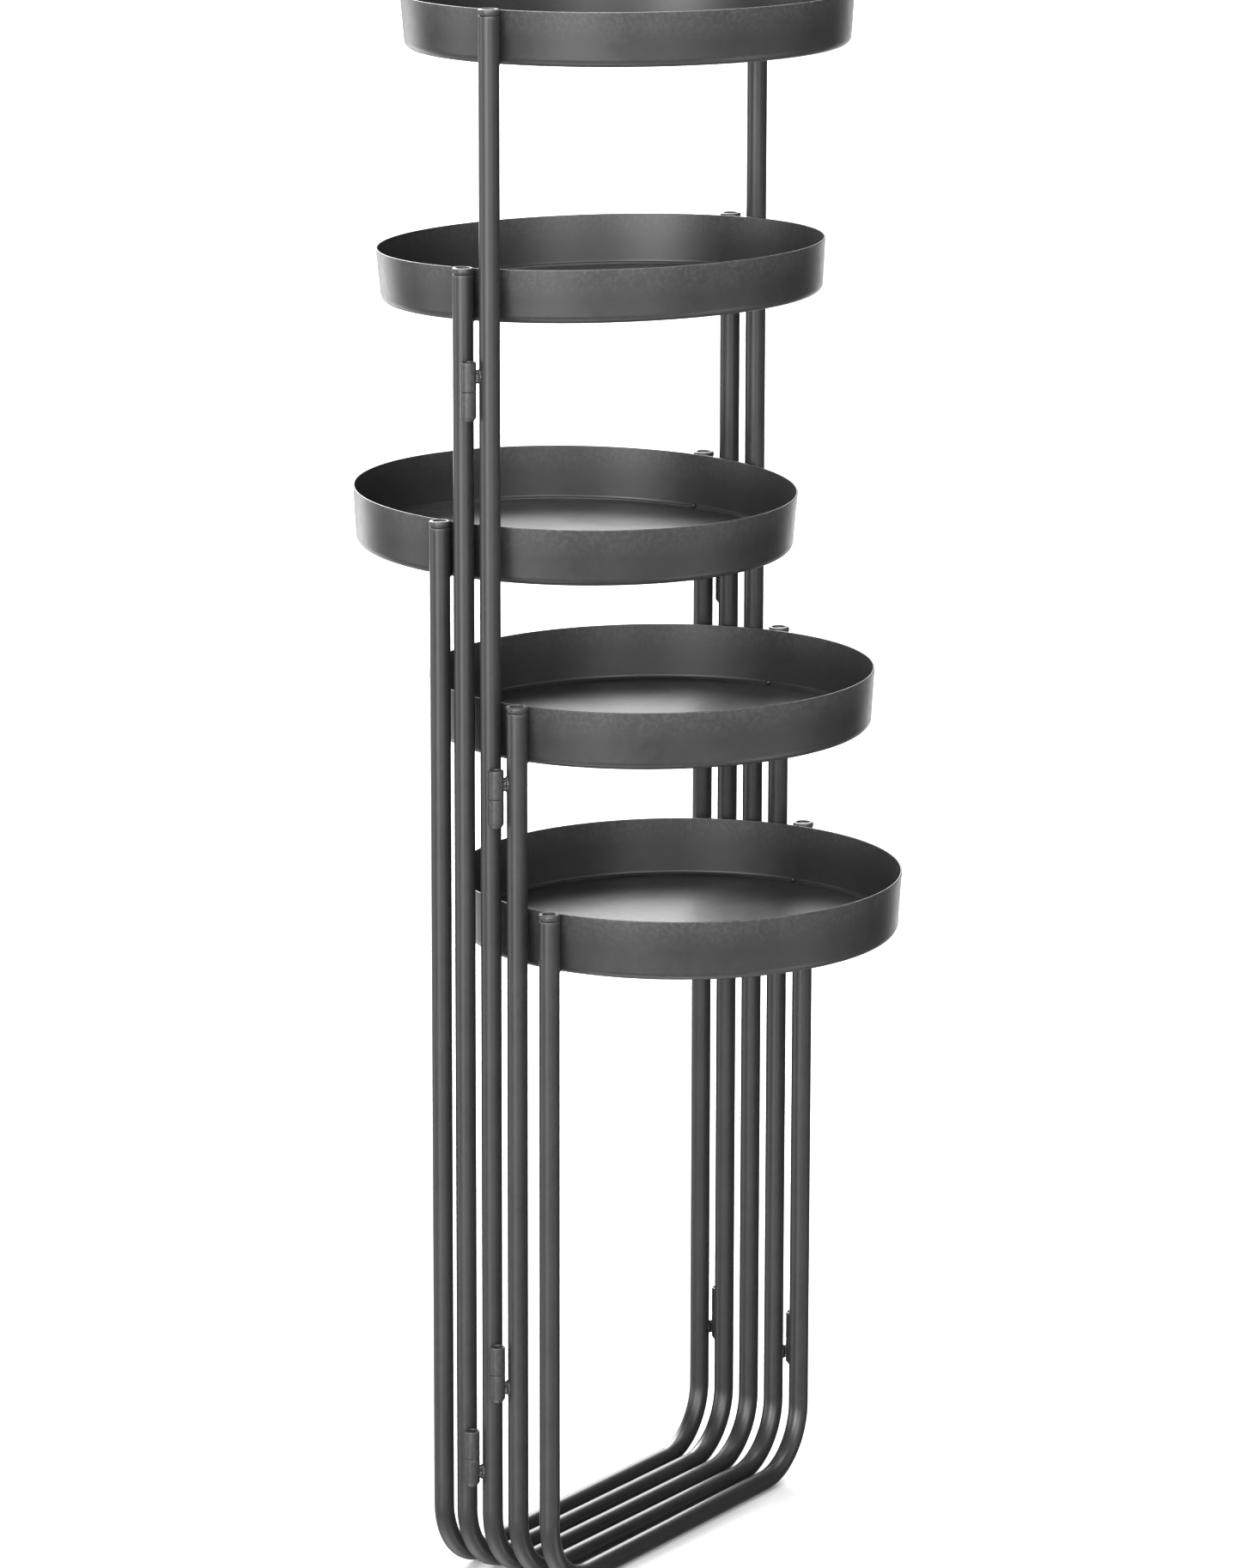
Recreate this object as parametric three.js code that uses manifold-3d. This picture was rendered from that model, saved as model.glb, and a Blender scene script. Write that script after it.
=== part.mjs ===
// Folding tiered plant stand in coated steel: five U-shaped tube frames of different height, each with a shallow round tray welded between its uprights.
// The frames hang together in a zigzag by barrel hinges, two to a pair, at the left ends for B-C and C-D and at the right ends for A-B and D-E.
// Millimetres, +Z up, floor at Z = 0. X runs along the frames, from the left uprights to the right ones. Frame A is at the back (+Y), E at the front (-Y).
import * as THREE from "three";
import { mergeVertices } from "three/addons/utils/BufferGeometryUtils.js";
import Module from "manifold-3d";

const wasm = await Module();
wasm.setup();

// Driving dimensions
const TUBE_D = 12;            // upright and bar tube, outside
const TUBE_WALL = 1.0;
const BEND_R = 40;            // tube bend, on the centreline
const TRAY_D = 262;           // tray rim, outside
const DEPTH = { a: 33.4, b: 31.0, c: 31.2, d: 34.1, e: 35.4 }; // rim to underside, which differs a little from tray to tray
const TRAY_DRAFT = 2.0;       // the wall leans in by this much at the bottom
const TRAY_CORNER = 4.6;      // outside radius between wall and floor
const SHEET = 1.0;            // tray sheet
const TRAY_GAP = 0.5;         // tray rim to upright, bridged by the welds
const PITCH = 18.4;           // from one frame to the next
const HINGE_OUT = 8.0;        // hinge axis outside the line of the uprights
const BARREL_D = 9.2;
const KNUCKLE_L = 16.7;       // one half of a barrel
const SPLIT = 0.3;            // gap between the two halves
const PIN_D = 4.0;
const BORE_D = 4.9;
const PIN_L = 21.6;
const BORE_DEPTH = 11.4;      // blind, in each half
const TAB_T = 3.4;
const TAB_H = 7.0;
const CAP_D = 12.5;
const CAP_H = 3.4;            // head of the end cap
const CAP_OVER = 1.0;         // cap top above the tray rim
const CAP_STEM_D = 8.4;
const CAP_STEM_L = 11;
const FIT = 0.3;              // gap left between pieces that touch
const SET_A = 0.3;            // degrees: frame A leans shut against B at its left end
const SET_E = 0.8;            // degrees: frame E stands a little open from D
const TILT = { a: 1.1, b: -1.9, c: -0.8, d: -0.75, e: -0.35 }; // degrees: each tray is welded on a little out of level, about the line through its two welds

const RIM = { a: 636, b: 783, c: 930, d: 534, e: 415 }; // height of each tray rim
const ROW = { a: 2, b: 1, c: 0, d: -1, e: -2 };         // place in the stack, in pitches

const HALF = TRAY_D / 2 + TRAY_GAP + TUBE_D / 2; // centre to each upright
const HINGE_X = HALF + HINGE_OUT;

// Hinges: end of the frames, the two frames, the frame that holds each half, and the height of the split.
const HINGES = [
  { name: "ab_upper", side: 1, top: "a", bottom: "b", split: 560 },
  { name: "ab_lower", side: 1, top: "b", bottom: "a", split: 90 },
  { name: "bc_upper", side: -1, top: "c", bottom: "b", split: 715 },
  { name: "bc_lower", side: -1, top: "b", bottom: "c", split: 81 },
  { name: "cd_upper", side: -1, top: "d", bottom: "c", split: 481 },
  { name: "cd_lower", side: -1, top: "c", bottom: "d", split: 136 },
  { name: "de_upper", side: 1, top: "d", bottom: "e", split: 345 },
  { name: "de_lower", side: 1, top: "e", bottom: "d", split: 84 },
];

const hingeAt = (h) => [h.side * HINGE_X, ((ROW[h.top] + ROW[h.bottom]) / 2) * PITCH];

// ---------- solids ----------
function solid(geometry) {
  const g = geometry.index ? geometry.toNonIndexed() : geometry.clone();
  g.deleteAttribute("normal");
  g.deleteAttribute("uv");
  const merged = mergeVertices(g, 1e-4);
  const tris = new Uint32Array(merged.index.array);
  const build = () =>
    new wasm.Manifold(
      new wasm.Mesh({ numProp: 3, vertProperties: merged.attributes.position.array, triVerts: tris }),
    );
  const made = build();
  if (made.volume() >= 0) return made;
  for (let i = 0; i < tris.length; i += 3) [tris[i + 1], tris[i + 2]] = [tris[i + 2], tris[i + 1]];
  return build();
}

function geometryOf(body) {
  const m = body.getMesh();
  const g = new THREE.BufferGeometry();
  g.setAttribute("position", new THREE.BufferAttribute(new Float32Array(m.vertProperties), 3));
  g.setIndex(new THREE.BufferAttribute(new Uint32Array(m.triVerts), 1));
  g.computeVertexNormals();
  return g;
}

function ring(radius, sides, turn = 0) {
  const pts = [];
  for (let i = 0; i < sides; i++) {
    const a = turn + (i / sides) * Math.PI * 2;
    pts.push(new THREE.Vector2(radius * Math.cos(a), radius * Math.sin(a)));
  }
  return new THREE.Shape(pts);
}

// Upright prism with a round section, from z0 to z1
function rod(radius, sides, x, y, z0, z1, turn = 0) {
  const g = new THREE.ExtrudeGeometry(ring(radius, sides, turn), { depth: z1 - z0, bevelEnabled: false });
  g.translate(x, y, z0);
  return solid(g);
}

// Solid of revolution about the upright axis at x, y
function turned(profile, sides, x, y, z) {
  const g = new THREE.LatheGeometry(profile.map(([r, h]) => new THREE.Vector2(r, h)), sides);
  g.rotateX(Math.PI / 2);
  g.translate(x, y, z);
  return solid(g);
}

// ---------- tube frame ----------
class FramePath extends THREE.Curve {
  constructor(half, top, bendR, z0, bends, past) {
    super();
    this.at = [];
    this.along = [];
    const add = (x, z, dx, dz) => {
      this.at.push(new THREE.Vector3(x, 0, z));
      this.along.push(new THREE.Vector3(dx, 0, dz).normalize());
    };
    add(-half, top + past, 0, -1);
    for (let i = 0; i <= bends; i++) {
      const a = (i / bends) * (Math.PI / 2);
      add(-half + bendR * (1 - Math.cos(a)), z0 + bendR * (1 - Math.sin(a)), Math.sin(a), -Math.cos(a));
    }
    for (let i = 0; i <= bends; i++) {
      const a = (i / bends) * (Math.PI / 2);
      add(half - bendR * (1 - Math.sin(a)), z0 + bendR * (1 - Math.cos(a)), Math.cos(a), Math.sin(a));
    }
    add(half, top + past, 0, 1);
  }
  get steps() { return this.at.length - 1; }
  getPoint(t, target = new THREE.Vector3()) {
    const s = Math.min(Math.max(t, 0), 1) * this.steps;
    const i = Math.min(Math.floor(s + 1e-9), this.steps - 1);
    return target.lerpVectors(this.at[i], this.at[i + 1], s - i);
  }
  getPointAt(u, target) { return this.getPoint(u, target); }
  getSpacedPoints() { return this.at.map((p) => p.clone()); }
  getTangentAt(u, target = new THREE.Vector3()) {
    return target.copy(this.along[Math.round(u * this.steps)]);
  }
  getTangent(t, target) { return this.getTangentAt(t, target); }
}

function uTube(top) {
  const sweep = (radius, sides, past) => {
    const path = new FramePath(HALF, top, BEND_R, TUBE_D / 2, 6, past);
    return solid(
      new THREE.ExtrudeGeometry(ring(radius, sides), { steps: path.steps, extrudePath: path, bevelEnabled: false }),
    );
  };
  return sweep(TUBE_D / 2, 16, 0).subtract(sweep(TUBE_D / 2 - TUBE_WALL, 12, 2));
}

// ---------- tray ----------
function tray(rim, depth, tilt) {
  const tipped = (body) => body.translate([0, 0, -rim]).rotate([tilt, 0, 0]).translate([0, 0, rim]);
  const R = TRAY_D / 2;
  const base = rim - depth;
  const lean = TRAY_DRAFT / (depth - TRAY_CORNER);
  const rAt = (z) => R - lean * (rim - z);
  const zc = base + TRAY_CORNER;
  const out = TRAY_CORNER;
  const inn = TRAY_CORNER - SHEET;
  const cx = rAt(zc) - TRAY_CORNER;
  const profile = [[0, base]];
  for (let i = 0; i <= 3; i++) {
    const a = -Math.PI / 2 + (i / 3) * (Math.PI / 2);
    profile.push([cx + out * Math.cos(a), zc + out * Math.sin(a)]);
  }
  profile.push([R, rim], [R - SHEET, rim]);
  for (let i = 3; i >= 0; i--) {
    const a = -Math.PI / 2 + (i / 3) * (Math.PI / 2);
    profile.push([cx + inn * Math.cos(a), zc + inn * Math.sin(a)]);
  }
  profile.push([0, base + SHEET]);
  let body = tipped(turned(profile, 48, 0, 0, 0));
  const inside = tipped(
    turned([[0, base + SHEET], [cx, base + SHEET], [rAt(zc) - SHEET - 0.2, zc], [rAt(zc) - SHEET - 0.2, rim + 4], [0, rim + 4]], 48, 0, 0, 0),
  );
  // A weld run down each side, between the wall and the upright
  for (const s of [-1, 1]) {
    const w0 = base + 3;
    const bead = new THREE.BoxGeometry(7.4, 5.2, 12).translate(s * (rAt(w0 + 6) + 2.6), 0, w0 + 6);
    body = body.add(
      solid(bead).subtract(rod(TUBE_D / 2 + FIT + 0.12, 16, s * HALF, 0, base - 5, rim + 5)).subtract(inside),
    );
  }
  return body;
}

// ---------- end cap ----------
function cap(x, top) {
  const r = CAP_D / 2;
  const z = top + FIT;
  return turned(
    [
      [0, z - CAP_STEM_L], [CAP_STEM_D / 2 - 0.7, z - CAP_STEM_L], [CAP_STEM_D / 2, z - CAP_STEM_L + 1.2], [CAP_STEM_D / 2, z],
      [r - 0.25, z], [r, z + 0.5], [r, z + CAP_H - 1.3], [r - 0.9, z + CAP_H - 0.25], [r - 1.9, z + CAP_H], [0, z + CAP_H - 0.3],
    ],
    12, x, 0, 0,
  );
}

// ---------- hinge ----------
// Half of a barrel with its tab, which reaches the upright of the frame it belongs to
function knuckle(h, isTop) {
  const [hx, hy] = hingeAt(h);
  const ty = ROW[isTop ? h.top : h.bottom] * PITCH;
  const tx = h.side * HALF;
  const r = BARREL_D / 2;
  const z0 = isTop ? h.split + SPLIT / 2 : h.split - SPLIT / 2 - KNUCKLE_L;
  const z1 = z0 + KNUCKLE_L;
  const profile = isTop
    ? [[0, z0], [r, z0], [r, z1 - 0.5], [r - 0.5, z1], [r - 1.2, z1], [0, z1 - 0.7]]
    : [[0, z0], [r - 1.1, z0], [r, z0 + 1.6], [r, z1], [0, z1]];
  let body = turned(profile, 12, hx, hy, 0);
  const dx = tx - hx, dy = ty - hy;
  const reach = Math.hypot(dx, dy);
  const tabZ = (z0 + z1) / 2;
  const tab = new THREE.BoxGeometry(reach - 3, TAB_T, TAB_H)
    .translate((reach - 3) / 2 + 1.5, 0, 0)
    .rotateZ(Math.atan2(dy, dx))
    .translate(hx, hy, tabZ);
  const weld = new THREE.IcosahedronGeometry(1, 1)
    .scale(2.4, 3.6, 4.6)
    .translate(reach - TUBE_D / 2 + 0.4, 0, 0)
    .rotateZ(Math.atan2(dy, dx))
    .translate(hx, hy, tabZ);
  body = body.add(solid(tab)).add(solid(weld));
  body = body.subtract(rod(TUBE_D / 2 + FIT + 0.12, 16, tx, ty, z0 - 5, z1 + 5));
  const bore = isTop ? [z0 - 1, z0 + BORE_DEPTH] : [z1 - BORE_DEPTH, z1 + 1];
  return body.subtract(rod(BORE_D / 2, 10, hx, hy, bore[0], bore[1]));
}

function pin(h) {
  const [hx, hy] = hingeAt(h);
  const r = PIN_D / 2;
  const z = h.split - PIN_L / 2;
  return turned([[0, z], [r - 0.4, z], [r, z + 0.4], [r, z + PIN_L - 0.4], [r - 0.4, z + PIN_L], [0, z + PIN_L]], 10, hx, hy, 0);
}

// ---------- assembly ----------
const root = new THREE.Group();
root.name = "tiered_plant_stand";

const LOOK = {
  tube: { color: 0x3b3b3c, roughness: 0.5, metalness: 0.35 },
  tray: { color: 0x3d3d3e, roughness: 0.55, metalness: 0.35 },
  cap: { color: 0x262627, roughness: 0.6, metalness: 0.0 },
  hinge: { color: 0x39393a, roughness: 0.5, metalness: 0.35 },
  pin: { color: 0x8d8f92, roughness: 0.35, metalness: 0.9 },
};

// A small turn of a whole frame about its hinge
const about = (body, x, y, degrees) =>
  degrees ? body.translate([-x, -y, 0]).rotate([0, 0, degrees]).translate([x, y, 0]) : body;
const placed = (body, key) => {
  if (key === "a") return about(body, HINGE_X, 1.5 * PITCH, SET_A);
  if (key === "e") return about(body, HINGE_X, -1.5 * PITCH, SET_E);
  return body;
};

const made = [];
const add = (name, look, body, key) => made.push({ name, look, body: placed(body, key) });

for (const key of ["a", "b", "c", "d", "e"]) {
  const y = ROW[key] * PITCH;
  const top = RIM[key] + CAP_OVER - CAP_H - FIT;
  add(`frame_${key}_tube`, "tube", uTube(top).translate([0, y, 0]), key);
  add(`frame_${key}_tray`, "tray", tray(RIM[key], DEPTH[key], TILT[key]).translate([0, y, 0]), key);
  add(`frame_${key}_cap_left`, "cap", cap(-HALF, top).translate([0, y, 0]), key);
  add(`frame_${key}_cap_right`, "cap", cap(HALF, top).translate([0, y, 0]), key);
}
for (const h of HINGES) {
  add(`hinge_${h.name}_knuckle_top`, "hinge", knuckle(h, true), h.top);
  add(`hinge_${h.name}_knuckle_bottom`, "hinge", knuckle(h, false), h.bottom);
  add(`hinge_${h.name}_pin`, "pin", pin(h), h.bottom);
}

// Stand the assembly on the origin: middle of its box, floor at zero
const low = [Infinity, Infinity, Infinity];
const high = [-Infinity, -Infinity, -Infinity];
for (const { body } of made) {
  const box = body.boundingBox();
  for (let i = 0; i < 3; i++) {
    low[i] = Math.min(low[i], box.min[i]);
    high[i] = Math.max(high[i], box.max[i]);
  }
}
const shift = [-(low[0] + high[0]) / 2, -(low[1] + high[1]) / 2, -low[2]];
for (const { name, look, body } of made) {
  const mesh = new THREE.Mesh(geometryOf(body.translate(shift)), new THREE.MeshStandardMaterial(LOOK[look]));
  mesh.name = name;
  root.add(mesh);
}

export default root;
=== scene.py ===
import math
import random

import bmesh
import bpy
from mathutils import Matrix, Vector, noise


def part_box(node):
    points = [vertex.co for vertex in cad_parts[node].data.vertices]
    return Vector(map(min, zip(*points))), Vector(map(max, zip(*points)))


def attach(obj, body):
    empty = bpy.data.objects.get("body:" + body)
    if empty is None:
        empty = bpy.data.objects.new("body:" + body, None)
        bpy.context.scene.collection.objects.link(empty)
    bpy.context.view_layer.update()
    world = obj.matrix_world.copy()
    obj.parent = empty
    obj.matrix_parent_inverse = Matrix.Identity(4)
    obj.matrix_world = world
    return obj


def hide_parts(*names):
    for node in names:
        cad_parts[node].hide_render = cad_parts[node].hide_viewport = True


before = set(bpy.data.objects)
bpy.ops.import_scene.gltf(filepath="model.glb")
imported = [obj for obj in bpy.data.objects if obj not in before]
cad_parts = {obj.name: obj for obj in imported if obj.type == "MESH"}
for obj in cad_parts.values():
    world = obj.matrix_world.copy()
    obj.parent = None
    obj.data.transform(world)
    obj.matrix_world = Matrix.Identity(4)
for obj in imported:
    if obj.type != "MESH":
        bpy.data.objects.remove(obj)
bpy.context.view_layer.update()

MM = 0.001

# ----------------------------------------------------------------------------
# Dimensions, in millimetres, as in the CAD part
# ----------------------------------------------------------------------------
TUBE_R = 6.0
TUBE_WALL = 1.0
BEND_R = 40.0
TRAY_R = 130.98
TRAY_DRAFT = 2.0
TRAY_CORNER = 4.6
SHEET = 1.0
PITCH = 18.4
HALF = 137.5
HINGE_X = 145.5
BARREL_R = 4.59
KNUCKLE_L = 16.7
SPLIT = 0.3
PIN_R = 2.0
PIN_L = 21.6
CAP_R = 6.25
CAP_H = 3.4
CAP_OVER = 1.0
FIT = 0.3
SET = {"a": (0.3, 1.5), "e": (0.8, -1.5)}          # small turns of two frames about their hinges
TILT = {"a": 1.1, "b": -1.9, "c": -0.8, "d": -0.75, "e": -0.35}   # each tray is welded on a little out of level
DEPTH = {"a": 33.4, "b": 31.0, "c": 31.2, "d": 34.1, "e": 35.4}         # rim to underside
RIM = {"a": 636.0, "b": 783.0, "c": 930.0, "d": 534.0, "e": 415.0}
ROW = {"a": 2, "b": 1, "c": 0, "d": -1, "e": -2}
HINGES = [
    ("ab_upper", 1, "a", "b", 560.0),
    ("ab_lower", 1, "b", "a", 90.0),
    ("bc_upper", -1, "c", "b", 715.0),
    ("bc_lower", -1, "b", "c", 81.0),
    ("cd_upper", -1, "d", "c", 481.0),
    ("cd_lower", -1, "c", "d", 136.0),
    ("de_upper", 1, "d", "e", 345.0),
    ("de_lower", 1, "e", "d", 84.0),
]

# The row's own shift comes from the middle frame's tube, whose plane is the middle of the stack
_lo, _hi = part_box("frame_c_tube")
SHIFT = Vector(((_lo.x + _hi.x) / 2 / MM, (_lo.y + _hi.y) / 2 / MM, 0.0))


def place(key):
    """Matrix, in millimetres, from a frame's own place in the stack to the row frame."""
    m = Matrix.Translation(SHIFT)
    if key in SET:
        turn, k = SET[key]
        pivot = Vector((HINGE_X, k * PITCH, 0))
        m = m @ Matrix.Translation(pivot) @ Matrix.Rotation(math.radians(turn), 4, "Z") @ Matrix.Translation(-pivot)
    return m


def place_tray(key):
    """The same, for a tray tipped about the line through its two welds, at the height of its rim."""
    pivot = Vector((0, ROW[key] * PITCH, RIM[key]))
    return place(key) @ Matrix.Translation(pivot) @ Matrix.Rotation(math.radians(TILT[key]), 4, "X") @ Matrix.Translation(-pivot)


# ----------------------------------------------------------------------------
# Mesh helpers
# ----------------------------------------------------------------------------
def add_object(name, verts, faces, matrix, wear_and_edge_highlight=None, crease=38.0):
    """A mesh object in metres, from points in millimetres."""
    mesh = bpy.data.meshes.new(name)
    mesh.from_pydata([tuple((matrix @ Vector(v)) * MM) for v in verts], [], faces)
    mesh.validate(clean_customdata=False)
    mesh.polygons.foreach_set("use_smooth", [True] * len(mesh.polygons))
    mesh.set_sharp_from_angle(angle=math.radians(crease))
    # a point weight that pales the edges in the shaders: rubbed wear and a painted highlight
    a = mesh.attributes.new("wear_and_edge_highlight", "FLOAT", "POINT")
    a.data.foreach_set("value", wear_and_edge_highlight if wear_and_edge_highlight is not None and len(wear_and_edge_highlight) == len(mesh.vertices) else [0.0] * len(mesh.vertices))
    mesh.update()
    o = bpy.data.objects.new(name, mesh)
    bpy.context.scene.collection.objects.link(o)
    return o


def rounded(points, steps=5, support=0.35):
    """A polyline of (r, z, radius, wear_and_edge_highlight) with its corners rounded and a row of points held close to
    each rounding; the last value pales the edges, partly as wear and partly as a painted highlight.
    """
    out = []
    n = len(points)
    for i, (r, z, rad, w) in enumerate(points):
        if i in (0, n - 1) or rad <= 0:
            out.append((r, z, w))
            continue
        p = Vector((r, z))
        a, b = Vector(points[i - 1][:2]) - p, Vector(points[i + 1][:2]) - p
        la, lb = a.length, b.length
        a, b = a / la, b / lb
        ang = a.angle(b)
        if ang > math.radians(178):
            out.append((r, z, w))
            continue
        t = rad / math.tan(ang / 2)
        lim = 0.49 * min(la, lb)
        if t > lim:
            rad *= lim / t
            t = lim
        c = p + (a + b).normalized() * (rad / math.sin(ang / 2))
        s0, s1 = p + a * t - c, p + b * t - c
        turn = s0.angle_signed(s1)
        sa, sb = min(support, 0.3 * (la - t)), min(support, 0.3 * (lb - t))
        if la - t > 0.8:
            q = p + a * (t + sa)
            out.append((q.x, q.y, points[i - 1][3] * 0.3 + w * 0.7 if w < points[i - 1][3] else w * 0.5))
        for k in range(steps + 1):
            v = s0.copy()
            v.rotate(Matrix.Rotation(-turn * k / steps, 2))
            q = c + v
            out.append((q.x, q.y, w))
        if lb - t > 0.8:
            q = p + b * (t + sb)
            out.append((q.x, q.y, w * 0.5))
    return out


def lathe(profile, sides, cx, cy):
    """Closed solid of revolution about the upright axis at cx, cy. The profile runs from the axis back to the axis."""
    verts, wear_and_edge_highlight, faces, rings = [], [], [], []
    for r, z, w in profile:
        if r < 1e-6:
            rings.append([len(verts)])
            verts.append((cx, cy, z))
            wear_and_edge_highlight.append(w)
        else:
            ring = []
            for k in range(sides):
                a = 2 * math.pi * k / sides
                ring.append(len(verts))
                verts.append((cx + r * math.cos(a), cy + r * math.sin(a), z))
                wear_and_edge_highlight.append(w)
            rings.append(ring)
    for a, b in zip(rings, rings[1:]):
        for k in range(sides):
            k2 = (k + 1) % sides
            if len(a) == 1 and len(b) == 1:
                continue
            if len(a) == 1:
                faces.append((a[0], b[k2], b[k]))
            elif len(b) == 1:
                faces.append((a[k], a[k2], b[0]))
            else:
                faces.append((a[k], a[k2], b[k2], b[k]))
    return verts, faces, wear_and_edge_highlight


def outward(obj):
    """Faces point out."""
    bm = bmesh.new()
    bm.from_mesh(obj.data)
    bmesh.ops.recalc_face_normals(bm, faces=bm.faces)
    if bm.calc_volume(signed=True) < 0:
        bmesh.ops.reverse_faces(bm, faces=bm.faces)
    bm.to_mesh(obj.data)
    bm.free()
    return obj


# ----------------------------------------------------------------------------
# Materials
# ----------------------------------------------------------------------------
class Tree:
    def __init__(self, name):
        self.mat = bpy.data.materials.new(name)
        self.mat.use_nodes = True
        self.nt = self.mat.node_tree
        self.nt.nodes.clear()
        self.out = self.node("ShaderNodeOutputMaterial")

    def node(self, kind, **props):
        n = self.nt.nodes.new(kind)
        for k, v in props.items():
            setattr(n, k, v)
        return n

    def link(self, a, b):
        self.nt.links.new(a, b)

    def noise(self, vec, scale, detail=2.0, rough=0.5, distortion=0.0):
        n = self.node("ShaderNodeTexNoise")
        n.inputs["Scale"].default_value = scale
        n.inputs["Detail"].default_value = detail
        n.inputs["Roughness"].default_value = rough
        n.inputs["Distortion"].default_value = distortion
        self.link(vec, n.inputs["Vector"])
        return n.outputs["Fac"]

    def map(self, value, a, b, c, d, smooth=False):
        n = self.node("ShaderNodeMapRange")
        n.interpolation_type = "SMOOTHSTEP" if smooth else "LINEAR"
        for i, x in zip(("From Min", "From Max", "To Min", "To Max"), (a, b, c, d)):
            n.inputs[i].default_value = x
        self.link(value, n.inputs["Value"])
        return n.outputs["Result"]

    def math(self, op, a, b=None):
        n = self.node("ShaderNodeMath", operation=op)
        for i, x in enumerate((a, b)):
            if x is None:
                continue
            if isinstance(x, (int, float)):
                n.inputs[i].default_value = x
            else:
                self.link(x, n.inputs[i])
        return n.outputs[0]

    def mix(self, fac, a, b):
        n = self.node("ShaderNodeMix", data_type="RGBA")
        for socket, x in ((n.inputs[0], fac), (n.inputs[6], a), (n.inputs[7], b)):
            if isinstance(x, (int, float)):
                socket.default_value = x
            elif isinstance(x, tuple):
                socket.default_value = (*x, 1.0)
            else:
                self.link(x, socket)
        return n.outputs[2]


def grey(v, tint=0.0):
    return (v * (1 - tint * 0.5), v, v * (1 + tint))


def coating(name, base, rough, fleck=0.05, dust_and_top_light=0.0, peel=0.5):
    """Satin powder coat on steel: a fine orange-peel skin, a faint metallic fleck, slow mottling, paler and duller
    edges that are partly rubbed wear and partly a painted highlight, and paler patches on faces lying flat that are
    partly dust and partly painted light from above.
    """
    t = Tree(name)
    coords = t.node("ShaderNodeTexCoord").outputs["Object"]
    slow = t.noise(coords, 22.0, 3.0, 0.55)
    mid = t.noise(coords, 160.0, 3.0, 0.6)
    fine = t.noise(coords, 2600.0, 2.0, 0.6)
    wear_and_edge_highlight = t.node("ShaderNodeAttribute", attribute_name="wear_and_edge_highlight", attribute_type="GEOMETRY").outputs["Fac"]
    tone = t.math("ADD", t.map(slow, 0.3, 0.7, -0.07, 0.07), t.map(mid, 0.3, 0.7, -0.05, 0.05))
    tone = t.math("ADD", tone, t.map(fine, 0.3, 0.75, -fleck, fleck))
    fac = t.map(tone, -0.3, 0.3, 0.0, 1.0)
    colour = t.mix(fac, grey(base * 0.72, 0.012), grey(base * 1.28, 0.012))
    # edges a little paler, in broken patches: partly rubbed wear, partly a painted highlight along rims and cut ends
    patch = t.map(t.noise(coords, 420.0, 3.0, 0.65), 0.42, 0.66, 0.0, 1.0, True)
    edge = t.math("MULTIPLY", wear_and_edge_highlight, t.map(patch, 0.0, 1.0, 0.25, 1.0))
    colour = t.mix(t.math("MULTIPLY", edge, 0.4), colour, grey(0.12))
    # faces lying flat paler in patches: dust, and painted light from above that lightens the tray floors
    if dust_and_top_light:
        geo = t.node("ShaderNodeNewGeometry").outputs["Normal"]
        up = t.node("ShaderNodeSeparateXYZ")
        t.link(geo, up.inputs[0])
        lying = t.map(up.outputs["Z"], 0.6, 1.0, 0.0, 1.0, True)
        cloud = t.map(t.noise(coords, 38.0, 5.0, 0.62, 0.4), 0.38, 0.72, 0.15, 1.0, True)
        colour = t.mix(t.math("MULTIPLY", t.math("MULTIPLY", lying, cloud), dust_and_top_light), colour, grey(0.22))
    p = t.node("ShaderNodeBsdfPrincipled")
    t.link(colour, p.inputs["Base Color"])
    p.inputs["Metallic"].default_value = 0.0
    p.inputs["IOR"].default_value = 1.5
    r = t.math("ADD", t.map(mid, 0.3, 0.7, -0.03, 0.03), t.map(slow, 0.3, 0.7, -0.025, 0.025))
    r = t.math("ADD", r, t.math("MULTIPLY", edge, 0.08))
    t.link(t.math("ADD", r, rough), p.inputs["Roughness"])
    # orange peel about 1.5 mm across over a micro grain, and a slow unevenness of the drawn metal
    skin = t.math("ADD", t.math("MULTIPLY", t.noise(coords, 620.0, 2.0, 0.5), 0.010 * peel),
                  t.math("MULTIPLY", fine, 0.0022 * peel))
    skin = t.math("ADD", skin, t.math("MULTIPLY", t.noise(coords, 75.0, 2.0, 0.5), 0.045 * peel))
    b = t.node("ShaderNodeBump")
    b.inputs["Strength"].default_value = 1.0
    b.inputs["Distance"].default_value = 0.001
    t.link(skin, b.inputs["Height"])
    t.link(b.outputs["Normal"], p.inputs["Normal"])
    t.link(p.outputs[0], t.out.inputs["Surface"])
    return t.mat


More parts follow.
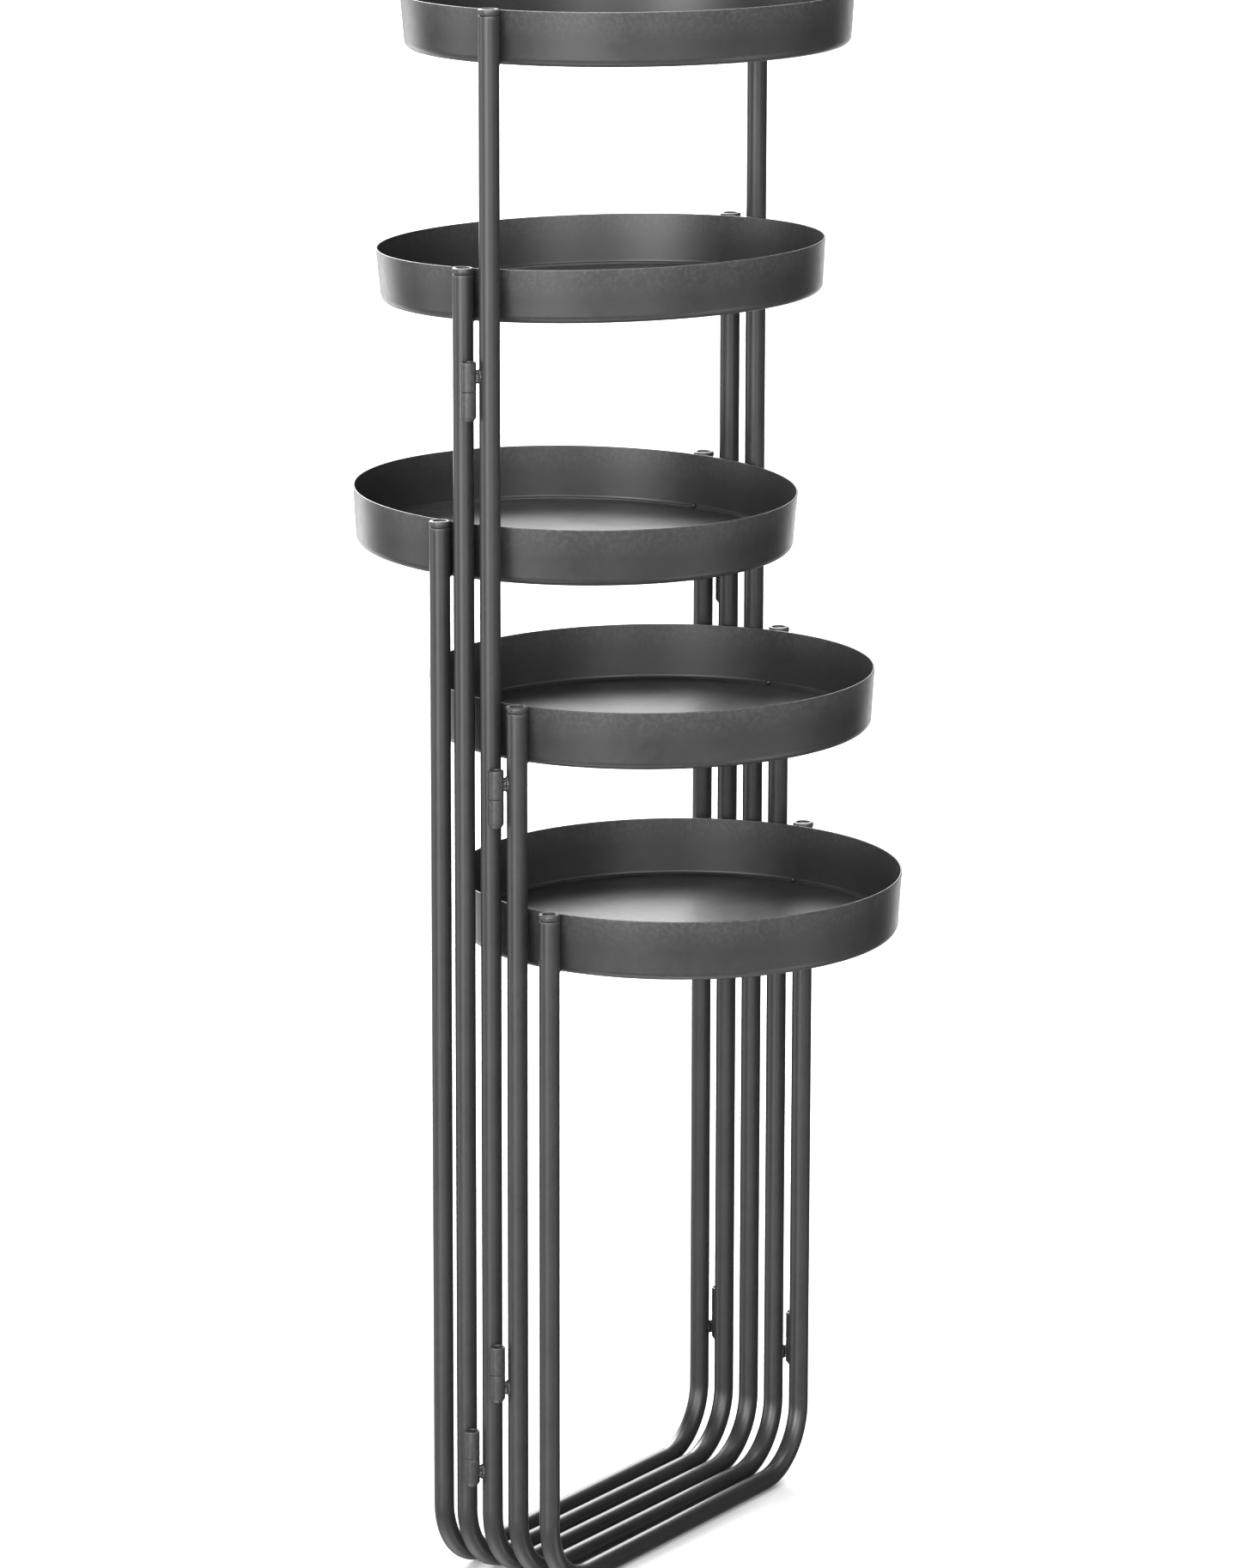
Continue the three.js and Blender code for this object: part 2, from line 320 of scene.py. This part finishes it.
def plastic(name, base, rough):
    """Moulded polyethylene of the end caps: a spark-eroded grain, faint flow marks and paler rims, partly rubbed wear
    and partly a painted highlight.
    """
    t = Tree(name)
    coords = t.node("ShaderNodeTexCoord").outputs["Object"]
    grain = t.noise(coords, 3200.0, 2.0, 0.6)
    flow = t.noise(coords, 240.0, 3.0, 0.6, 0.8)
    wear_and_edge_highlight = t.node("ShaderNodeAttribute", attribute_name="wear_and_edge_highlight", attribute_type="GEOMETRY").outputs["Fac"]
    fac = t.math("ADD", t.map(grain, 0.3, 0.7, 0.25, 0.75), t.map(flow, 0.3, 0.7, -0.2, 0.2))
    colour = t.mix(fac, grey(base * 0.75), grey(base * 1.3))
    # rims paler: rubbed wear and a painted highlight on the rim ring
    colour = t.mix(t.math("MULTIPLY", wear_and_edge_highlight, 0.35), colour, grey(0.13))
    p = t.node("ShaderNodeBsdfPrincipled")
    t.link(colour, p.inputs["Base Color"])
    p.inputs["IOR"].default_value = 1.5
    t.link(t.math("ADD", t.map(flow, 0.3, 0.7, -0.03, 0.03), rough), p.inputs["Roughness"])
    b = t.node("ShaderNodeBump")
    b.inputs["Strength"].default_value = 1.0
    b.inputs["Distance"].default_value = 0.001
    t.link(t.math("ADD", t.math("MULTIPLY", grain, 0.004), t.math("MULTIPLY", flow, 0.006)), b.inputs["Height"])
    t.link(b.outputs["Normal"], p.inputs["Normal"])
    t.link(p.outputs[0], t.out.inputs["Surface"])
    return t.mat


def steel(name):
    """Bright drawn wire of the hinge pins, with turning marks round it."""
    t = Tree(name)
    coords = t.node("ShaderNodeTexCoord").outputs["Object"]
    m = t.node("ShaderNodeMapping")
    m.inputs["Scale"].default_value = (40.0, 40.0, 5200.0)
    t.link(coords, m.inputs["Vector"])
    marks = t.noise(m.outputs[0], 1.0, 3.0, 0.6)
    stain = t.noise(coords, 500.0, 3.0, 0.6)
    p = t.node("ShaderNodeBsdfPrincipled")
    t.link(t.mix(t.map(stain, 0.3, 0.7, 0.0, 1.0), grey(0.34), grey(0.52)), p.inputs["Base Color"])
    p.inputs["Metallic"].default_value = 1.0
    t.link(t.map(marks, 0.3, 0.7, 0.24, 0.42), p.inputs["Roughness"])
    b = t.node("ShaderNodeBump")
    b.inputs["Strength"].default_value = 1.0
    b.inputs["Distance"].default_value = 0.001
    t.link(t.math("MULTIPLY", marks, 0.006), b.inputs["Height"])
    t.link(b.outputs["Normal"], p.inputs["Normal"])
    t.link(p.outputs[0], t.out.inputs["Surface"])
    return t.mat


MAT = {
    "tube": coating("tube_coating", 0.020, 0.34, peel=0.4),
    # the trays' pale patches on faces lying flat are dust and painted light from above
    "tray": coating("tray_coating", 0.020, 0.34, dust_and_top_light=0.08, peel=0.15),
    "hinge": coating("hinge_coating", 0.020, 0.32, peel=0.9),
    "weld": coating("weld_coating", 0.020, 0.30, peel=1.6),
    "cap": plastic("cap_plastic", 0.020, 0.34),
    "pin": steel("pin_steel"),
}


def dress(obj, mat, body, nodes=()):
    obj.data.materials.clear()
    obj.data.materials.append(MAT[mat])
    if nodes:
        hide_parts(*nodes)
    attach(obj, body)
    return obj


# ----------------------------------------------------------------------------
# U-shaped tube frames
# ----------------------------------------------------------------------------
def u_tube(key):
    top = RIM[key] + CAP_OVER - CAP_H - FIT
    y = ROW[key] * PITCH
    stations = []                                    # (x, z, tx, tz) from the left top, down, along and up to the right top
    def upright(x, zs, tz):
        for z in zs:
            stations.append((x, z, 0.0, tz))
    straight = [top - (top - TUBE_R - BEND_R) * f for f in (0.002, 0.03, 0.12, 0.25, 0.4, 0.55, 0.7, 0.85, 0.96, 0.997)]
    upright(-HALF, straight, -1.0)
    bends = 22
    for i in range(bends + 1):
        a = (i / bends) * math.pi / 2
        stations.append((-HALF + BEND_R * (1 - math.cos(a)), TUBE_R + BEND_R * (1 - math.sin(a)), math.sin(a), -math.cos(a)))
    span = HALF - BEND_R
    for f in (-0.994, -0.8, -0.5, -0.2, 0.2, 0.5, 0.8, 0.994):
        stations.append((span * f, TUBE_R, 1.0, 0.0))
    for i in range(bends + 1):
        a = (i / bends) * math.pi / 2
        stations.append((HALF - BEND_R * (1 - math.sin(a)), TUBE_R + BEND_R * (1 - math.cos(a)), math.cos(a), math.sin(a)))
    upright(HALF, straight[::-1], 1.0)
    ri = TUBE_R - TUBE_WALL
    e = 0.55                                          # rounding of the cut end under its coat
    seq = []                                          # (x, z, tx, tz, radius, wear_and_edge_highlight): the last value pales the edges, partly wear, partly a painted highlight
    def end(x, tz, order):
        # the rounded cut end is weighted fully pale: a painted highlight ring at the tube end, with its wear
        prof = []
        for k in range(5):
            a = (k / 4) * math.pi / 2
            prof.append((TUBE_R - e + e * math.sin(a), top - e + e * math.cos(a), 1.0))
        prof = [(ri, top - 1.2, 0.0), (ri, top - 0.25, 0.4), (ri + 0.2, top, 1.0)] + prof + [(TUBE_R, top - 1.0, 0.4), (TUBE_R, top - 2.2, 0.0)]
        for r, z, w in (prof if order else prof[::-1]):
            seq.append((x, z, 0.0, tz, r, w))
    end(-HALF, -1.0, True)
    for s in stations[1:-1]:
        seq.append((*s, TUBE_R, 0.0))
    end(HALF, 1.0, False)
    for s in stations[1:-1][::-1]:
        seq.append((*s, ri, 0.0))
    sides = 48
    verts, wear_and_edge_highlight, faces = [], [], []
    for x, z, tx, tz, r, w in seq:
        nx, nz = tz, -tx
        # the section flattens very slightly on a bend
        flat = 0.985 if abs(tx) > 0.02 and abs(tz) > 0.02 and r == TUBE_R else 1.0
        for k in range(sides):
            a = 2 * math.pi * k / sides
            u, v = r * math.cos(a) * flat, r * math.sin(a)
            verts.append((x + nx * u, y + v, z + nz * u))
            wear_and_edge_highlight.append(w)
    m = len(seq)
    for i in range(m):
        j = (i + 1) % m
        for k in range(sides):
            k2 = (k + 1) % sides
            faces.append((i * sides + k, i * sides + k2, j * sides + k2, j * sides + k))
    o = outward(add_object(f"tube_{key}", verts, faces, place(key), wear_and_edge_highlight))
    return dress(o, "tube", f"frame_{key}", [f"frame_{key}_tube"])


# ----------------------------------------------------------------------------
# Trays, with their rims and the welds that hold them
# ----------------------------------------------------------------------------
def wall_r(key, z):
    return TRAY_R - TRAY_DRAFT / (DEPTH[key] - TRAY_CORNER) * (RIM[key] - z)


def make_tray(key):
    rim = RIM[key]
    base = rim - DEPTH[key]
    y = ROW[key] * PITCH
    foot = wall_r(key, base)
    inner = foot - SHEET * 1.003
    pts = [
        (0, base, 0, 0), (40, base, 0, 0), (90, base, 0, 0), (118, base, 0, 0),
        (foot, base, TRAY_CORNER, 0.15),
        (wall_r(key, rim - 18), rim - 18, 0, 0),
        # the rim is weighted fully pale: a painted highlight along the rim, with its wear
        (TRAY_R, rim, 0.34, 1.0), (TRAY_R - SHEET, rim, 0.34, 1.0),
        (wall_r(key, rim - 17) - SHEET * 1.003, rim - 17, 0, 0),
        (inner, base + SHEET, 2.4, 0.1),
        (118, base + SHEET, 0, 0), (90, base + SHEET, 0, 0), (40, base + SHEET, 0, 0), (0, base + SHEET, 0, 0),
    ]
    prof = rounded(pts, steps=7)
    verts, faces, wear_and_edge_highlight = lathe(prof, 240, 0.0, y)
    o = outward(add_object(f"tray_{key}", verts, faces, place_tray(key), wear_and_edge_highlight))
    return dress(o, "tray", f"frame_{key}", [f"frame_{key}_tray"])


def lump(name, shapes, matrix, voxel=0.32, relax=6, rough=0.12, seed=0):
    """Weld metal: overlapping rounded forms fused into one skin, relaxed and then roughened a little."""
    bm = bmesh.new()
    for m, kind in shapes:
        if kind == "box":
            r = bmesh.ops.create_cube(bm, size=2.0)
        else:
            r = bmesh.ops.create_icosphere(bm, subdivisions=3, radius=1.0)
        bmesh.ops.transform(bm, matrix=m, verts=r["verts"])
    mesh = bpy.data.meshes.new(name + "_raw")
    bm.to_mesh(mesh)
    bm.free()
    o = bpy.data.objects.new(name, mesh)
    bpy.context.scene.collection.objects.link(o)
    r = o.modifiers.new("fuse", "REMESH")
    r.mode = "VOXEL"
    r.voxel_size = voxel
    s = o.modifiers.new("relax", "SMOOTH")
    s.factor = 0.5
    s.iterations = relax
    dg = bpy.context.evaluated_depsgraph_get()
    out = bpy.data.meshes.new_from_object(o.evaluated_get(dg))
    o.modifiers.clear()
    o.data = out
    out.name = name
    bpy.data.meshes.remove(mesh)
    shift = Vector((seed * 7.31, seed * 3.17, seed * 1.93))
    points = [v.co.copy() for v in out.vertices]
    normals = [v.normal.copy() for v in out.vertices]
    flat = []
    for q, d in zip(points, normals):
        flat.extend(q + d * (rough * (noise.noise((q + shift) * 0.55) + 0.5 * noise.noise((q + shift) * 1.3))))
    out.vertices.foreach_set("co", flat)
    out.transform(Matrix.Scale(MM, 4) @ matrix)
    out.polygons.foreach_set("use_smooth", [True] * len(out.polygons))
    # the weld gets an even, slightly paler tone: wear and painted highlight
    a = out.attributes.get("wear_and_edge_highlight") or out.attributes.new("wear_and_edge_highlight", "FLOAT", "POINT")
    a.data.foreach_set("value", [0.15] * len(out.vertices))
    out.update()
    return o


def ball(x, y, z, sx, sy, sz, turn=0.0):
    m = Matrix.Translation((x, y, z)) @ Matrix.Rotation(turn, 4, "Z") @ Matrix.Diagonal((sx, sy, sz, 1.0))
    return m, "ball"


def block(x, y, z, sx, sy, sz, turn=0.0):
    m = Matrix.Translation((x, y, z)) @ Matrix.Rotation(turn, 4, "Z") @ Matrix.Diagonal((sx, sy, sz, 1.0))
    return m, "box"


def tray_weld(key, side, seed):
    """A run of weld in the corner between the tray wall and the upright, ending in a small web under the tray."""
    rim, y = RIM[key], ROW[key] * PITCH
    base = rim - DEPTH[key]
    rng = random.Random(100 + seed)
    x0 = side * (HALF - TUBE_R)
    shapes = []
    z = base - 1.0
    while z < rim - 7:
        w = 2.35 + rng.uniform(-0.25, 0.25)
        shapes.append(ball(x0 - side * 0.2, y, z, 1.9, w, 1.7))
        z += 1.5
    # the web under the corner
    for k, (dx, dz) in enumerate([(0.6, 0.4), (1.6, 0.8), (2.8, 1.5), (4.0, 2.1), (0.2, -1.2), (-0.1, -2.4)]):
        shapes.append(ball(x0 - side * dx, y, base + dz, 1.7, 2.2 - 0.12 * k, 1.5))
    shapes.append(ball(x0 - side * 5.2, y, base + 2.6, 1.6, 1.6, 1.3))
    o = lump(f"tray_{key}_weld_{'left' if side < 0 else 'right'}", shapes, place(key), voxel=0.42, relax=5, rough=0.14, seed=seed)
    return dress(o, "weld", f"frame_{key}")


# ----------------------------------------------------------------------------
# End caps
# ----------------------------------------------------------------------------
def make_cap(key, side):
    z = RIM[key] + CAP_OVER - CAP_H
    # the cap's top ring and shoulder are weighted pale: painted highlight and wear
    pts = [
        (0, z - 11, 0, 0), (3.3, z - 11, 0.4, 0), (4.2, z - 9.6, 0.5, 0), (4.2, z, 0.1, 0),
        (CAP_R - 0.35, z, 0.4, 0.3), (CAP_R - 0.3, z + 0.8, 0.3, 0.1), (CAP_R, z + 1.1, 0.3, 0.2), (CAP_R, z + CAP_H - 0.05, 1.0, 0.4),
        (4.25, z + CAP_H, 0.3, 0.6), (3.7, z + CAP_H - 0.9, 0.4, 0.1), (2.0, z + CAP_H - 1.0, 0, 0), (0, z + CAP_H - 1.0, 0, 0),
    ]
    verts, faces, wear_and_edge_highlight = lathe(rounded(pts, steps=6, support=0.2), 56, side * HALF, ROW[key] * PITCH)
    end = "left" if side < 0 else "right"
    o = outward(add_object(f"cap_{key}_{end}", verts, faces, place(key), wear_and_edge_highlight))
    return dress(o, "cap", f"frame_{key}", [f"frame_{key}_cap_{end}"])


# ----------------------------------------------------------------------------
# Barrel hinges
# ----------------------------------------------------------------------------
def hinge(name, side, top, bottom, split, seed):
    hx, hy = side * HINGE_X, (ROW[top] + ROW[bottom]) / 2 * PITCH
    r = BARREL_R
    for is_top, key in ((True, top), (False, bottom)):
        z0 = split + SPLIT / 2 if is_top else split - SPLIT / 2 - KNUCKLE_L
        z1 = z0 + KNUCKLE_L
        b = 2.45
        # the barrel ends are weighted pale: painted highlight and wear on the rims
        if is_top:
            pts = [(0, z0 + 11.4, 0, 0), (b, z0 + 11.4, 0.2, 0), (b, z0, 0.25, 0.4), (r, z0, 0.3, 0.8), (r, z1, 0.45, 0.9),
                   (r - 1.0, z1, 0.3, 0.8), (r - 1.5, z1 - 0.6, 0.3, 0), (1.2, z1 - 0.75, 0, 0), (0, z1 - 0.75, 0, 0)]
        else:
            pts = [(0, z0, 0, 0), (r - 1.5, z0, 0.5, 0.3), (r, z0 + 2.3, 1.2, 0.4), (r, z1, 0.4, 0.9), (b, z1, 0.25, 0.4),
                   (b, z1 - 11.4, 0.2, 0), (0, z1 - 11.4, 0, 0)]
        verts, faces, wear_and_edge_highlight = lathe(rounded(pts, steps=5, support=0.25), 56, hx, hy)
        half = "top" if is_top else "bottom"
        o = outward(add_object(f"hinge_{name}_barrel_{half}", verts, faces, place(key), wear_and_edge_highlight))
        dress(o, "hinge", f"frame_{key}", [f"hinge_{name}_knuckle_{half}"])
        # the tab, fused to the barrel and to the upright by lumps of weld
        tx, ty = side * HALF, ROW[key] * PITCH
        dx, dy = tx - hx, ty - hy
        reach = math.hypot(dx, dy)
        turn = math.atan2(dy, dx)
        rng = random.Random(500 + seed * 2 + is_top)
        zc = (z0 + z1) / 2
        at = lambda u, v, w: (hx + math.cos(turn) * u - math.sin(turn) * v, hy + math.sin(turn) * u + math.cos(turn) * v, zc + w)
        shapes = [block(*at(reach / 2, 0, 0), reach / 2 - 2.6, 1.5, 2.0, turn)]
        u0 = reach - TUBE_R
        # a bead of weld all round the foot of the tab on the upright, a little uneven
        tall = 3.3 + rng.uniform(-0.3, 0.3)
        for k in range(12):
            a = 2 * math.pi * k / 12 + rng.uniform(-0.12, 0.12)
            dv, dw = 2.2 * math.cos(a), tall * math.sin(a) + rng.uniform(-0.25, 0.25)
            bulge = TUBE_R - math.sqrt(TUBE_R ** 2 - dv ** 2)
            s = 1.0 + rng.uniform(-0.12, 0.15)
            shapes.append(ball(*at(u0 + bulge + 0.25, dv, dw), 1.15 * s, 1.25 * s, 1.25 * s, turn))
        shapes.append(ball(*at(u0 + 0.2, 0, 0), 1.3, 2.0, 2.8, turn))
        # and a smaller one where it meets the barrel
        for dv, dw in ((0.9, 2.5), (-0.9, 2.5), (0.9, -2.5), (-0.9, -2.5), (0.0, 3.1), (0.0, -3.1)):
            bulge = r - math.sqrt(r ** 2 - dv ** 2)
            shapes.append(ball(*at(r - bulge - 0.05, dv, dw), 0.9, 1.0, 1.0, turn))
        o = lump(f"hinge_{name}_tab_{half}", shapes, place(key), voxel=0.3, relax=4, rough=0.2, seed=seed * 2 + is_top)
        dress(o, "weld", f"frame_{key}")
    z = split - PIN_L / 2
    pts = [(0, z, 0, 0), (PIN_R, z, 0.5, 0), (PIN_R, z + PIN_L, 0.5, 0), (0, z + PIN_L, 0, 0)]
    verts, faces, wear_and_edge_highlight = lathe(rounded(pts, steps=4), 40, hx, hy)
    o = outward(add_object(f"hinge_{name}_pin", verts, faces, place(bottom), wear_and_edge_highlight))
    dress(o, "pin", f"frame_{bottom}", [f"hinge_{name}_pin"])


for n, key in enumerate("abcde"):
    u_tube(key)
    make_tray(key)
    for side in (-1, 1):
        make_cap(key, side)
        tray_weld(key, side, n * 2 + (side > 0))
for n, (name, side, top, bottom, split) in enumerate(HINGES):
    hinge(name, side, top, bottom, split, n)

# ----------------------------------------------------------------------------
# Camera
# ----------------------------------------------------------------------------
YAW, PITCH_DOWN, ROLL = -0.9738466, 0.2278278, 0.0021514
cam = bpy.data.objects.new("camera", bpy.data.cameras.new("camera"))
bpy.context.scene.collection.objects.link(cam)
cam.data.sensor_fit = "AUTO"
cam.data.sensor_width = 36.0
cam.data.lens = 36.0 * 7432.36 / 1826.0
cam.data.clip_start, cam.data.clip_end = 0.05, 200.0
fw = Vector((-math.sin(YAW) * math.cos(PITCH_DOWN), math.cos(YAW) * math.cos(PITCH_DOWN), -math.sin(PITCH_DOWN)))
r0 = Vector((math.cos(YAW), math.sin(YAW), 0))
u0 = r0.cross(fw)
right = r0 * math.cos(ROLL) + u0 * math.sin(ROLL)
up = -r0 * math.sin(ROLL) + u0 * math.cos(ROLL)
cam.matrix_world = Matrix((
    (right.x, up.x, -fw.x, -3.04235),
    (right.y, up.y, -fw.y, -2.06872 + SHIFT.y * MM),
    (right.z, up.z, -fw.z, 1.31395),
    (0, 0, 0, 1),
))
bpy.context.scene.camera = cam

# ----------------------------------------------------------------------------
# Floor and light
# ----------------------------------------------------------------------------
bm = bmesh.new()
bmesh.ops.create_circle(bm, cap_ends=True, segments=96, radius=40.0)
floor_mesh = bpy.data.meshes.new("floor")
bm.to_mesh(floor_mesh)
bm.free()
floor = bpy.data.objects.new("floor", floor_mesh)
floor.location = (0, 0, -0.0001)
bpy.context.scene.collection.objects.link(floor)
t = Tree("floor_paper")
fc = t.node("ShaderNodeTexCoord").outputs["Object"]
p = t.node("ShaderNodeBsdfPrincipled")
t.link(t.mix(t.map(t.noise(fc, 3.0, 2.0), 0.3, 0.7, 0.0, 1.0), (0.86, 0.86, 0.86), (0.89, 0.89, 0.89)), p.inputs["Base Color"])
p.inputs["Roughness"].default_value = 0.9
t.link(p.outputs[0], t.out.inputs["Surface"])
floor_mesh.materials.append(t.mat)
floor.visible_glossy = False

# A dark studio with a handful of round soft lamps: bearing, height above the floor and half-width in degrees, and
# strength. Bearing 0 is behind the camera and grows towards the camera's right. The ones below zero are what the gloss
# of the coating sees of the sweep and of the room low down, in place of the floor itself.
LAMPS = [
    (-27, 11, 15, 16.0),     # key, behind the camera a little to its left
    (20, 12, 14, 8.0),       # fill, to its right
    (70, 14, 12, 1.5),       # side, right
    (-90, 0, 12, 5.0),       # side, left
    (-162, 31, 13, 25.0),    # rim light, from behind the stand
    (165, -12, 12, 2.5),     # far end of the sweep, right
    (-150, -16, 12, 4.0),    # far end of the sweep, left
    (70, -37, 12, 2.5),      # sweep beside the stand, right
    (-80, -75, 26, 2.5),     # sweep under the stand
    (0, 88, 15, 14.0),       # overhead
]

world = bpy.data.worlds.new("studio")
bpy.context.scene.world = world
world.use_nodes = True
t = Tree.__new__(Tree)
t.nt = world.node_tree
t.nt.nodes.clear()
toward = t.node("ShaderNodeTexCoord").outputs["Generated"]
behind, beside = Vector((-0.8275, -0.5615, 0.0)), Vector((0.5615, -0.8275, 0.0))
glow = None
for bearing, height, half, strength in LAMPS:
    b, h = math.radians(bearing), math.radians(height)
    dot = t.node("ShaderNodeVectorMath", operation="DOT_PRODUCT")
    t.link(toward, dot.inputs[0])
    dot.inputs[1].default_value = (behind * math.cos(b) + beside * math.sin(b)) * math.cos(h) + Vector((0, 0, math.sin(h)))
    fall = math.log(2) / (1 - math.cos(math.radians(half)))
    one = t.math("MULTIPLY", t.math("EXPONENT", t.math("MULTIPLY", t.math("SUBTRACT", dot.outputs["Value"], 1.0), fall)), strength)
    glow = one if glow is None else t.math("ADD", glow, one)
bg = t.node("ShaderNodeBackground")
bg.inputs["Color"].default_value = (1.0, 1.0, 1.0, 1.0)
t.link(glow, bg.inputs["Strength"])
t.link(bg.outputs[0], t.node("ShaderNodeOutputWorld").inputs["Surface"])

bpy.context.scene.view_settings.view_transform = "Standard"
bpy.context.scene.view_settings.look = "None"
